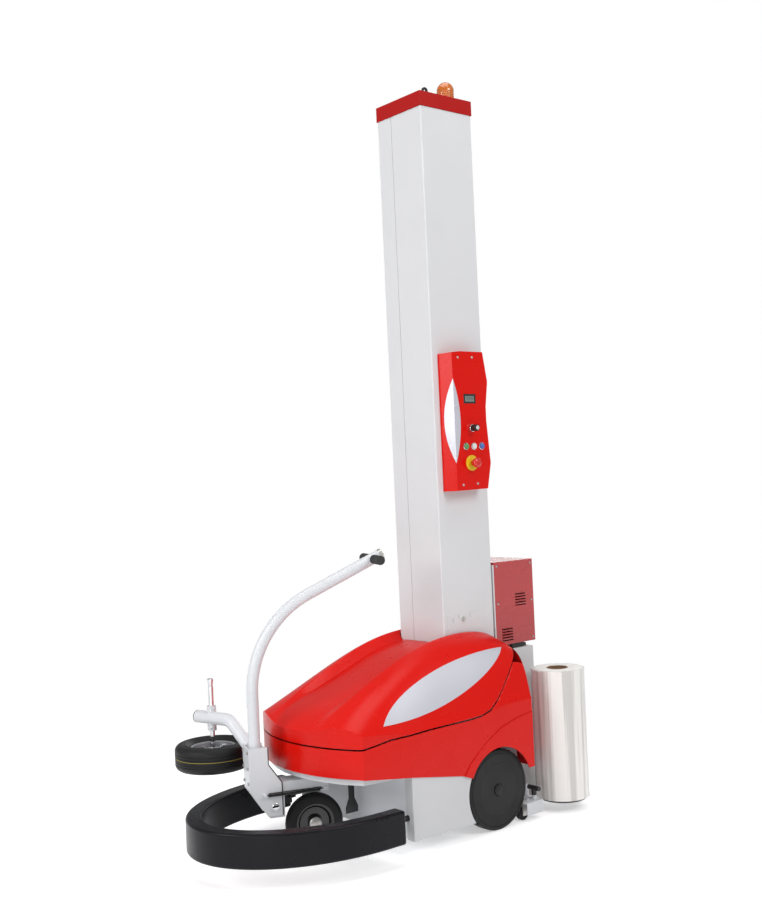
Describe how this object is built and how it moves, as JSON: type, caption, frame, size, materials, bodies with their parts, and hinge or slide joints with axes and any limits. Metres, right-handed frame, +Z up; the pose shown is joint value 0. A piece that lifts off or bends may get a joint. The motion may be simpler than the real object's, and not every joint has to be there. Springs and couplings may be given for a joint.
{
  "type": "mobile robot stretch wrapper",
  "caption": "Self-propelled battery stretch wrapper with a film carriage on a tall mast, a steered front wheel with tiller, a side feeler wheel and a safety bumper.",
  "frame": {"origin": "on the floor, at the middle of the machine's footprint box", "axes": "+X forwards to the bumper's nose, +Y to the machine's left, +Z up the mast"},
  "size_m": [1.598, 0.8628, 2.89],
  "materials": {
    "frame_paint": "satin",
    "battery_case": "satin",
    "motor_casting": "cast, matt",
    "grey_paint": "fine textured powder coat",
    "white_paint": "semi-gloss powder coat",
    "red_cover": "gloss",
    "leaf_grey": "satin",
    "cap_red": "satin",
    "amber_lens": "translucent gloss",
    "dark_steel": "matt",
    "black_rubber": "matt",
    "display": "gloss window",
    "zinc_steel": "zinc plated",
    "black_plastic": "satin",
    "yellow_plastic": "satin",
    "spring_steel": "black oxide",
    "hub_black": "gloss",
    "grip_rubber": "matt",
    "chromed_steel": "polished",
    "rim_aluminium": "satin",
    "bumper_foam": "moulded foam skin",
    "hammered_red": "hammer finish",
    "roller_rubber": "ground rubber",
    "stretch_film": "translucent film",
    "core_board": "raw board",
    "green_plastic": "gloss",
    "white_plastic": "gloss",
    "blue_plastic": "gloss",
    "stop_red": "gloss"
  },
  "bodies": {
    "chassis": {"chassis_frame": "frame_paint", "batteries": "battery_case", "drive_gearmotor": "motor_casting", "skirt_panels": "grey_paint", "front_tray": "white_paint", "lower_cover": "red_cover", "hood": "red_cover", "hood_leaf_inserts": "leaf_grey", "rear_caster_bracket": "white_paint", "mast_column": "grey_paint", "mast_cap": "cap_red", "beacon_lens": "amber_lens", "lifting_eye": "dark_steel", "mast_foot_plate": "grey_paint", "lift_motor": "motor_casting", "lift_belt": "black_rubber", "panel_housing": "red_cover", "panel_leaf": "leaf_grey", "display_window": "display", "screws": "zinc_steel", "button_bezels": "black_plastic", "estop_ring": "yellow_plastic"},
    "steering": {"steering_head": "white_paint", "tiller_spring": "spring_steel"},
    "front_wheel": {"front_tyre": "black_rubber", "front_hub": "hub_black"},
    "tiller": {"tiller_bracket": "white_paint", "tiller_tube": "white_paint", "handle_bar": "zinc_steel", "handle_grips": "grip_rubber", "feeler_arm": "white_paint", "arm_end_cap": "black_plastic"},
    "thumb_switch": {"tiller_button": "black_plastic"},
    "feeler_post": {"feeler_spindle": "chromed_steel"},
    "feeler_wheel": {"feeler_tyre": "black_rubber", "feeler_rim": "rim_aluminium"},
    "bumper": {"bumper_foam": "bumper_foam", "bumper_carriers": "dark_steel"},
    "rear_wheel_left": {"rear_tyre_left": "black_rubber", "rear_hub_left": "hub_black"},
    "rear_wheel_right": {"rear_tyre_right": "black_rubber", "rear_hub_right": "hub_black"},
    "caster": {"caster_fork": "zinc_steel"},
    "caster_roller": {"caster_wheel": "black_rubber"},
    "clamp_knob": {"caster_clamp_knob": "black_plastic"},
    "carriage": {"carriage_frame": "grey_paint", "carriage_box": "hammered_red"},
    "lock_lever": {"roll_lock_lever": "black_plastic"},
    "slow_roller": {"slow_stretch_roller": "roller_rubber"},
    "fast_roller": {"fast_stretch_roller": "roller_rubber"},
    "film": {"roll_dish": "black_plastic", "film_roll": "stretch_film", "film_core": "core_board"},
    "pulley_low": {"lift_pulley_low": "motor_casting"},
    "pulley_high": {"lift_pulley_high": "motor_casting"},
    "start": {"start_button": "green_plastic"},
    "pause": {"pause_button": "white_plastic"},
    "reset": {"reset_button": "blue_plastic"},
    "emergency_stop": {"estop_button": "stop_red"},
    "selector": {"selector_knob": "black_plastic"}
  },
  "joints": [
    {"name": "steer", "type": "hinge", "parent": "chassis", "child": "steering", "pos_m": [0.319, 0.03993, 0.28], "axis": [0, 0, 1], "range_deg": [-9, 60]},
    {"name": "front_wheel_spin", "type": "hinge", "parent": "steering", "child": "front_wheel", "pos_m": [0.319, 0.03993, 0.105], "axis": [0.3469, 0.9379, 0], "continuous": true},
    {"name": "tiller_tilt", "type": "hinge", "parent": "steering", "child": "tiller", "pos_m": [0.45968, -0.01211, 0.192], "axis": [0.3469, 0.9379, 0], "range_deg": [0, 12], "stiffness_Nm_per_rad": 300, "springref_deg": -8.59},
    {"name": "tiller_switch_press", "type": "slide", "parent": "tiller", "child": "thumb_switch", "axis": [0.8568, -0.3169, -0.4069], "range_m": [0, 0.003], "stiffness_N_per_m": 300, "springref_m": -0.002},
    {"name": "feeler_height", "type": "slide", "parent": "tiller", "child": "feeler_post", "axis": [0, 0, 1], "range_m": [-0.06, 0.02]},
    {"name": "feeler_spin", "type": "hinge", "parent": "feeler_post", "child": "feeler_wheel", "pos_m": [0.52589, -0.29143, 0.333], "axis": [0, 0, 1], "continuous": true},
    {"name": "bumper_press", "type": "slide", "parent": "chassis", "child": "bumper", "axis": [-1, 0, 0], "range_m": [0, 0.04], "stiffness_N_per_m": 2500, "springref_m": -0.01},
    {"name": "rear_wheel_left_spin", "type": "hinge", "parent": "chassis", "child": "rear_wheel_left", "pos_m": [-0.302, 0.32843, 0.149], "axis": [0, 1, 0], "continuous": true},
    {"name": "rear_wheel_right_spin", "type": "hinge", "parent": "chassis", "child": "rear_wheel_right", "pos_m": [-0.302, -0.24857, 0.149], "axis": [0, 1, 0], "continuous": true},
    {"name": "caster_swivel", "type": "hinge", "parent": "chassis", "child": "caster", "pos_m": [-0.461, 0.32393, 0.066], "axis": [0, 0, 1], "continuous": true},
    {"name": "caster_spin", "type": "hinge", "parent": "caster", "child": "caster_roller", "pos_m": [-0.449, 0.32393, 0.027], "axis": [0, 1, 0], "continuous": true},
    {"name": "caster_clamp_turn", "type": "hinge", "parent": "chassis", "child": "clamp_knob", "pos_m": [-0.505, 0.33793, 0.0865], "axis": [0, 0, 1], "range_deg": [-90, 90]},
    {"name": "carriage_lift", "type": "slide", "parent": "chassis", "child": "carriage", "axis": [0, 0, 1], "range_m": [0, 1.75]},
    {"name": "roll_lock_turn", "type": "hinge", "parent": "carriage", "child": "lock_lever", "pos_m": [-0.611, 0.15143, 0.619], "axis": [0, 0, -1], "range_deg": [0, 60]},
    {"name": "slow_roller_spin", "type": "hinge", "parent": "carriage", "child": "slow_roller", "pos_m": [-0.567, 0.06193, 0.065], "axis": [0, 0, 1], "continuous": true},
    {"name": "fast_roller_spin", "type": "hinge", "parent": "carriage", "child": "fast_roller", "pos_m": [-0.657, 0.00993, 0.065], "axis": [0, 0, 1], "continuous": true},
    {"name": "film_spin", "type": "hinge", "parent": "carriage", "child": "film", "pos_m": [-0.687, 0.31943, 0.046], "axis": [0, 0, 1], "continuous": true},
    {"name": "lift_pulley_low_spin", "type": "hinge", "parent": "chassis", "child": "pulley_low", "pos_m": [-0.421, 0.03993, 0.372], "axis": [0, 1, 0], "continuous": true},
    {"name": "lift_pulley_high_spin", "type": "hinge", "parent": "chassis", "child": "pulley_high", "pos_m": [-0.421, 0.03993, 2.69], "axis": [0, 1, 0], "continuous": true},
    {"name": "start_press", "type": "slide", "parent": "chassis", "child": "start", "axis": [0, -1, 0], "range_m": [0, 0.003], "stiffness_N_per_m": 300, "springref_m": -0.002},
    {"name": "pause_press", "type": "slide", "parent": "chassis", "child": "pause", "axis": [0, -1, 0], "range_m": [0, 0.003], "stiffness_N_per_m": 300, "springref_m": -0.002},
    {"name": "reset_press", "type": "slide", "parent": "chassis", "child": "reset", "axis": [0, -1, 0], "range_m": [0, 0.003], "stiffness_N_per_m": 300, "springref_m": -0.002},
    {"name": "estop_press", "type": "slide", "parent": "chassis", "child": "emergency_stop", "axis": [0, -1, 0], "range_m": [0, 0.005], "stiffness_N_per_m": 500, "springref_m": -0.002},
    {"name": "selector_turn", "type": "hinge", "parent": "chassis", "child": "selector", "pos_m": [-0.364, 0.22943, 1.501], "axis": [0, 1, 0], "range_deg": [-45, 45]}
  ],
  "couplings": [
    {"joint": "lift_pulley_low_spin", "follows": "carriage_lift", "rad_per_m": 26.455},
    {"joint": "lift_pulley_high_spin", "follows": "carriage_lift", "rad_per_m": 26.455},
    {"joint": "fast_roller_spin", "follows": "slow_roller_spin", "ratio": -2.5}
  ]
}
